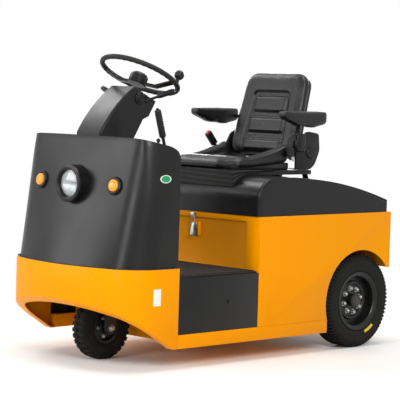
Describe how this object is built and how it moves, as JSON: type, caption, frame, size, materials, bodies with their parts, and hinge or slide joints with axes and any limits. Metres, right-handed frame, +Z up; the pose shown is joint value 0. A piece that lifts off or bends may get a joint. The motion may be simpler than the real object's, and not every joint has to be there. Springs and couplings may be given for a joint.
{
  "type": "electric tow tractor",
  "caption": "Seated electric tow tractor with a steered front wheel, driven rear wheels, a leaning front hood, a hinged battery lid that carries the seat, and a rear tow jaw.",
  "frame": {"origin": "on the ground under the middle of the outline", "axes": "+X forward, +Y to the driver's left, +Z up"},
  "size_m": [1.92, 0.9, 1.4157],
  "materials": {
    "orange_paint": "gloss enamel on sheet steel",
    "black_paint": "satin powder coat",
    "floor_rubber": "steel plate under a ribbed mat",
    "black_plastic": "moulded, fine grain",
    "wheel_rim_foam": "moulded over a steel ring",
    "seat_vinyl": "grained vinyl",
    "clear_lens": "ribbed glass",
    "amber_lens": "moulded lens",
    "red_lens": "moulded lens",
    "zinc_steel": "zinc plated",
    "cast_iron": "painted castings",
    "battery_case": "closed case",
    "tyre": "black rubber"
  },
  "bodies": {
    "tractor": {"chassis_frame": "orange_paint", "floor_plate": "floor_rubber", "step_panels": "black_paint", "nose_band": "orange_paint", "hood": "black_paint", "dash_panel": "black_paint", "cowl_panel": "black_paint", "headlamp_housing": "black_paint", "headlamp_lens": "clear_lens", "turn_lamp_bezels": "black_plastic", "turn_lamp_lenses": "amber_lens", "column_cover": "black_plastic", "column_controls": "black_plastic", "parking_brake_lever": "black_plastic", "foot_pedals": "black_plastic", "left_side_panel": "orange_paint", "right_side_panel": "orange_paint", "front_panel": "orange_paint", "rear_panel": "orange_paint", "lid_latch": "zinc_steel", "lid_hinges": "zinc_steel", "battery_pack": "battery_case", "rear_axle": "cast_iron", "drive_motor": "cast_iron", "tow_hitch": "cast_iron", "tow_pin": "zinc_steel", "rear_lamps": "red_lens"},
    "seat_lid": {"lid": "black_plastic", "seat_base": "black_plastic", "seat_pan": "black_paint", "seat_cushion": "seat_vinyl", "seat_brackets": "black_paint", "belt_retractor": "black_plastic", "belt_buckle": "black_plastic"},
    "backrest": {"backrest_cushion": "seat_vinyl", "backrest_shell": "black_plastic"},
    "left_arm": {"left_armrest": "seat_vinyl"},
    "right_arm": {"right_armrest": "seat_vinyl"},
    "hand_wheel": {"steering_wheel": "wheel_rim_foam", "spinner_knob": "black_plastic"},
    "fork": {"steering_fork": "cast_iron"},
    "front_wheel": {"front_rim": "black_paint", "front_tyre": "tyre"},
    "left_rear_wheel": {"left_rear_rim": "black_paint", "left_rear_tyre": "tyre"},
    "right_rear_wheel": {"right_rear_rim": "black_paint", "right_rear_tyre": "tyre"}
  },
  "joints": [
    {"name": "steer", "type": "hinge", "parent": "tractor", "child": "fork", "pos_m": [0.667, 0, 0.15], "axis": [0, 0, 1], "range_deg": [-70, 70]},
    {"name": "hand_wheel_turn", "type": "hinge", "parent": "tractor", "child": "hand_wheel", "pos_m": [0.467, 0, 1.321], "axis": [-0.4384, 0, 0.8988], "range_deg": [-350, 350]},
    {"name": "front_wheel_roll", "type": "hinge", "parent": "fork", "child": "front_wheel", "pos_m": [0.667, 0, 0.15], "axis": [0, 1, 0], "continuous": true},
    {"name": "left_wheel_roll", "type": "hinge", "parent": "tractor", "child": "left_rear_wheel", "pos_m": [-0.65, 0.378, 0.2325], "axis": [0, 1, 0], "continuous": true},
    {"name": "right_wheel_roll", "type": "hinge", "parent": "tractor", "child": "right_rear_wheel", "pos_m": [-0.65, -0.378, 0.2325], "axis": [0, 1, 0], "continuous": true},
    {"name": "lid_open", "type": "hinge", "parent": "tractor", "child": "seat_lid", "pos_m": [-0.858, 0, 0.6843], "axis": [0, -1, 0], "range_deg": [0, 70]},
    {"name": "recline", "type": "hinge", "parent": "seat_lid", "child": "backrest", "pos_m": [-0.47, 0, 0.965], "axis": [0, -1, 0], "range_deg": [-10, 20]},
    {"name": "left_arm_fold", "type": "hinge", "parent": "backrest", "child": "left_arm", "pos_m": [-0.47465, 0.306, 1.13], "axis": [0, -1, 0], "range_deg": [0, 90]},
    {"name": "right_arm_fold", "type": "hinge", "parent": "backrest", "child": "right_arm", "pos_m": [-0.47465, -0.306, 1.13], "axis": [0, -1, 0], "range_deg": [0, 90]}
  ],
  "couplings": [
    {"joint": "hand_wheel_turn", "follows": "steer", "ratio": 5}
  ]
}
